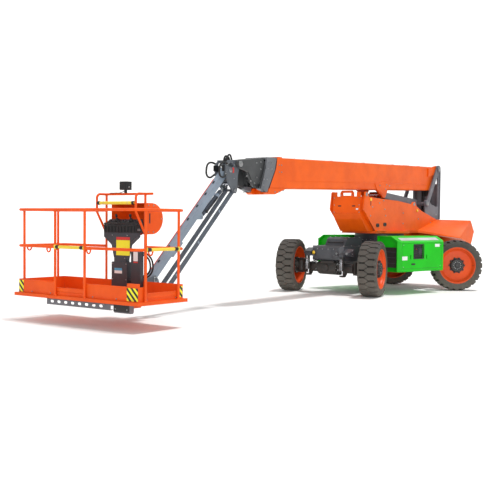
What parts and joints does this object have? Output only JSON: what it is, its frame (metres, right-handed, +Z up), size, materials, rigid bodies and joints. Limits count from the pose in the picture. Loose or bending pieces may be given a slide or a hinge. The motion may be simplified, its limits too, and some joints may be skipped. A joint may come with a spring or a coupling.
{
  "type": "telescopic boom lift",
  "caption": "Self-propelled telescopic boom lift: steered four-wheel chassis, slewing turntable, telescoping boom, parallelogram jib and railed work platform.",
  "frame": {"origin": "on the ground under the swing axis", "axes": "+X along the boom towards the platform, +Y to the machine's left, +Z up; the chassis stands turned under the boom by the parked swing of 11.9 degrees"},
  "size_m": [10.6755, 3.3733, 2.714],
  "materials": {
    "chassis_grey": "satin dark grey enamel",
    "box_green": "semi-gloss green enamel",
    "tyre_rubber": "matt rubber",
    "orange_paint": "semi-gloss orange enamel",
    "hub_black": "satin black enamel",
    "dark_grey_paint": "satin dark grey enamel",
    "steel_grey_paint": "satin blue-grey enamel",
    "chrome_rod": "polished chrome",
    "platform_orange": "semi-gloss red-orange powder coat",
    "bar_yellow": "semi-gloss yellow powder coat",
    "console_grey": "moulded grey plastic",
    "black_plastic": "moulded black plastic"
  },
  "bodies": {
    "chassis": {"chassis_frame": "chassis_grey", "front_axle": "chassis_grey", "rear_axle": "chassis_grey", "slew_ring": "chassis_grey", "side_box_left": "box_green", "side_box_right": "box_green", "axle_cylinders": "chrome_rod"},
    "knuckle_front_left": {"knuckle_front_left": "chassis_grey"},
    "wheel_front_left": {"tyre_front_left": "tyre_rubber", "rim_front_left": "orange_paint", "hub_front_left": "hub_black"},
    "knuckle_front_right": {"knuckle_front_right": "chassis_grey"},
    "wheel_front_right": {"tyre_front_right": "tyre_rubber", "rim_front_right": "orange_paint", "hub_front_right": "hub_black"},
    "knuckle_rear_left": {"knuckle_rear_left": "chassis_grey"},
    "wheel_rear_left": {"tyre_rear_left": "tyre_rubber", "rim_rear_left": "orange_paint", "hub_rear_left": "hub_black"},
    "knuckle_rear_right": {"knuckle_rear_right": "chassis_grey"},
    "wheel_rear_right": {"tyre_rear_right": "tyre_rubber", "rim_rear_right": "orange_paint", "hub_rear_right": "hub_black"},
    "front_tie_rod": {"front_tie_rod": "chassis_grey"},
    "rear_tie_rod": {"rear_tie_rod": "chassis_grey"},
    "turntable": {"turntable_frame": "orange_paint", "rear_upright": "dark_grey_paint", "front_hood": "orange_paint", "counterweight": "orange_paint", "boom_rest": "dark_grey_paint"},
    "base_boom": {"base_boom": "orange_paint"},
    "mid_boom": {"mid_boom": "steel_grey_paint"},
    "fly_boom": {"fly_boom": "steel_grey_paint"},
    "lift_cylinder_barrel": {"lift_cylinder_barrel": "steel_grey_paint"},
    "lift_cylinder_rod": {"lift_cylinder_rod": "chrome_rod"},
    "boom_knuckle": {"boom_knuckle": "steel_grey_paint"},
    "jib_arm": {"jib_arm": "steel_grey_paint"},
    "parallel_link": {"parallel_link": "steel_grey_paint"},
    "jib_cylinder_barrel": {"jib_cylinder_barrel": "steel_grey_paint"},
    "jib_cylinder_rod": {"jib_cylinder_rod": "chrome_rod"},
    "platform_support": {"platform_support": "steel_grey_paint"},
    "platform": {"platform_floor": "platform_orange", "under_beam": "dark_grey_paint", "toe_boards": "platform_orange", "platform_rails": "platform_orange", "console_pedestal": "console_grey", "control_box": "black_plastic", "console_guard": "platform_orange", "pressure_bar": "bar_yellow", "work_lamp": "black_plastic"},
    "front_gate_bar": {"front_gate_bar": "bar_yellow"},
    "side_gate_bar": {"side_gate_bar": "bar_yellow"},
    "console_hood": {"console_hood": "platform_orange"}
  },
  "joints": [
    {"name": "steer_front_left", "type": "hinge", "parent": "chassis", "child": "knuckle_front_left", "pos_m": [1.59099, 0.5058, 0.5315], "axis": [0, 0, 1], "range_deg": [-72.8, 17.2]},
    {"name": "roll_front_left", "type": "hinge", "parent": "knuckle_front_left", "child": "wheel_front_left", "pos_m": [1.53099, 0.71642, 0.5315], "axis": [-0.274, 0.9617, 0], "continuous": true},
    {"name": "steer_front_right", "type": "hinge", "parent": "chassis", "child": "knuckle_front_right", "pos_m": [1.25158, -1.10482, 0.5315], "axis": [0, 0, 1], "range_deg": [-72.8, 17.2]},
    {"name": "roll_front_right", "type": "hinge", "parent": "knuckle_front_right", "child": "wheel_front_right", "pos_m": [1.31157, -1.31545, 0.5315], "axis": [-0.274, 0.9617, 0], "continuous": true},
    {"name": "steer_rear_left", "type": "hinge", "parent": "chassis", "child": "knuckle_rear_left", "pos_m": [-1.25158, 1.10482, 0.5315], "axis": [0, 0, 1], "range_deg": [-3.5, 86.5]},
    {"name": "roll_rear_left", "type": "hinge", "parent": "knuckle_rear_left", "child": "wheel_rear_left", "pos_m": [-1.07576, 1.2354, 0.5315], "axis": [0.8028, 0.5962, 0], "continuous": true},
    {"name": "steer_rear_right", "type": "hinge", "parent": "chassis", "child": "knuckle_rear_right", "pos_m": [-1.59099, -0.5058, 0.5315], "axis": [0, 0, 1], "range_deg": [-3.5, 86.5]},
    {"name": "roll_rear_right", "type": "hinge", "parent": "knuckle_rear_right", "child": "wheel_rear_right", "pos_m": [-1.76681, -0.63638, 0.5315], "axis": [0.8028, 0.5962, 0], "continuous": true},
    {"name": "front_tie_rod_shift", "type": "slide", "parent": "chassis", "child": "front_tie_rod", "axis": [0.2062, 0.9785, 0], "range_m": [-0.0575, 0.2367]},
    {"name": "rear_tie_rod_shift", "type": "slide", "parent": "chassis", "child": "rear_tie_rod", "axis": [0.2062, 0.9785, 0], "range_m": [-0.0131, 0.2759]},
    {"name": "swing", "type": "hinge", "parent": "chassis", "child": "turntable", "pos_m": [0, 0, 1.2], "axis": [0, 0, 1], "continuous": true},
    {"name": "boom_lift", "type": "hinge", "parent": "turntable", "child": "base_boom", "pos_m": [-2.13, 0, 2.634], "axis": [0, -1, 0], "range_deg": [0, 75]},
    {"name": "telescope", "type": "slide", "parent": "base_boom", "child": "mid_boom", "axis": [0.9997, 0, -0.0262], "range_m": [0, 4.6]},
    {"name": "fly_telescope", "type": "slide", "parent": "mid_boom", "child": "fly_boom", "axis": [0.9997, 0, -0.0262], "range_m": [0, 4.6]},
    {"name": "lift_cylinder_turn", "type": "hinge", "parent": "turntable", "child": "lift_cylinder_barrel", "pos_m": [-1.557, 0, 1.837], "axis": [0, -1, 0], "range_deg": [-0.1, 72.53]},
    {"name": "lift_cylinder_stroke", "type": "slide", "parent": "lift_cylinder_barrel", "child": "lift_cylinder_rod", "axis": [0.9967, 0, 0.0816], "range_m": [-0.001, 1.1925]},
    {"name": "knuckle_level", "type": "hinge", "parent": "fly_boom", "child": "boom_knuckle", "pos_m": [4.96026, 0, 2.3603], "axis": [0, 1, 0], "range_deg": [-0.1, 75.1]},
    {"name": "jib_lift", "type": "hinge", "parent": "boom_knuckle", "child": "jib_arm", "pos_m": [5.13, 0, 2.25], "axis": [0, 1, 0], "range_deg": [-99, 15]},
    {"name": "parallel_link_turn", "type": "hinge", "parent": "boom_knuckle", "child": "parallel_link", "pos_m": [5.01, 0, 1.93], "axis": [0, 1, 0], "range_deg": [-99.1, 15.1]},
    {"name": "jib_cylinder_turn", "type": "hinge", "parent": "jib_arm", "child": "jib_cylinder_barrel", "pos_m": [5.74069, 0, 1.48688], "axis": [0, 1, 0], "range_deg": [-0.25, 1.1]},
    {"name": "jib_cylinder_stroke", "type": "slide", "parent": "jib_cylinder_barrel", "child": "jib_cylinder_rod", "axis": [-0.7578, 0, 0.6525], "range_m": [-0.0497, 0.3223]},
    {"name": "platform_level", "type": "hinge", "parent": "jib_arm", "child": "platform_support", "pos_m": [6.86, 0, 0.563], "axis": [0, 1, 0], "range_deg": [-15.1, 99.1]},
    {"name": "platform_swivel", "type": "hinge", "parent": "platform_support", "child": "platform", "pos_m": [7.18, 0, 0.4025], "axis": [0, 0, 1], "range_deg": [-90, 90]},
    {"name": "front_gate_lift", "type": "slide", "parent": "platform", "child": "front_gate_bar", "axis": [0, 0, 1], "range_m": [0, 0.45]},
    {"name": "side_gate_lift", "type": "slide", "parent": "platform", "child": "side_gate_bar", "axis": [0, 0, 1], "range_m": [0, 0.45]},
    {"name": "hood_turn", "type": "hinge", "parent": "platform", "child": "console_hood", "pos_m": [7.38, 0.08, 1.236], "axis": [0, 1, 0], "range_deg": [0, 90]}
  ],
  "couplings": [
    {"joint": "steer_front_right", "follows": "steer_front_left", "ratio": 1},
    {"joint": "steer_rear_right", "follows": "steer_rear_left", "ratio": 1},
    {"joint": "front_tie_rod_shift", "follows": "steer_front_left", "m_per_rad": -0.18471},
    {"joint": "rear_tie_rod_shift", "follows": "steer_rear_left", "m_per_rad": 0.18146},
    {"joint": "fly_telescope", "follows": "telescope", "ratio": 1},
    {"joint": "lift_cylinder_turn", "follows": "boom_lift", "ratio": 0.96575},
    {"joint": "lift_cylinder_stroke", "follows": "boom_lift", "m_per_rad": 0.9095},
    {"joint": "knuckle_level", "follows": "boom_lift", "ratio": 1},
    {"joint": "parallel_link_turn", "follows": "jib_lift", "ratio": 1},
    {"joint": "jib_cylinder_turn", "follows": "jib_lift", "ratio": -0.0101},
    {"joint": "jib_cylinder_stroke", "follows": "jib_lift", "m_per_rad": -0.18598},
    {"joint": "platform_level", "follows": "jib_lift", "ratio": -1}
  ]
}
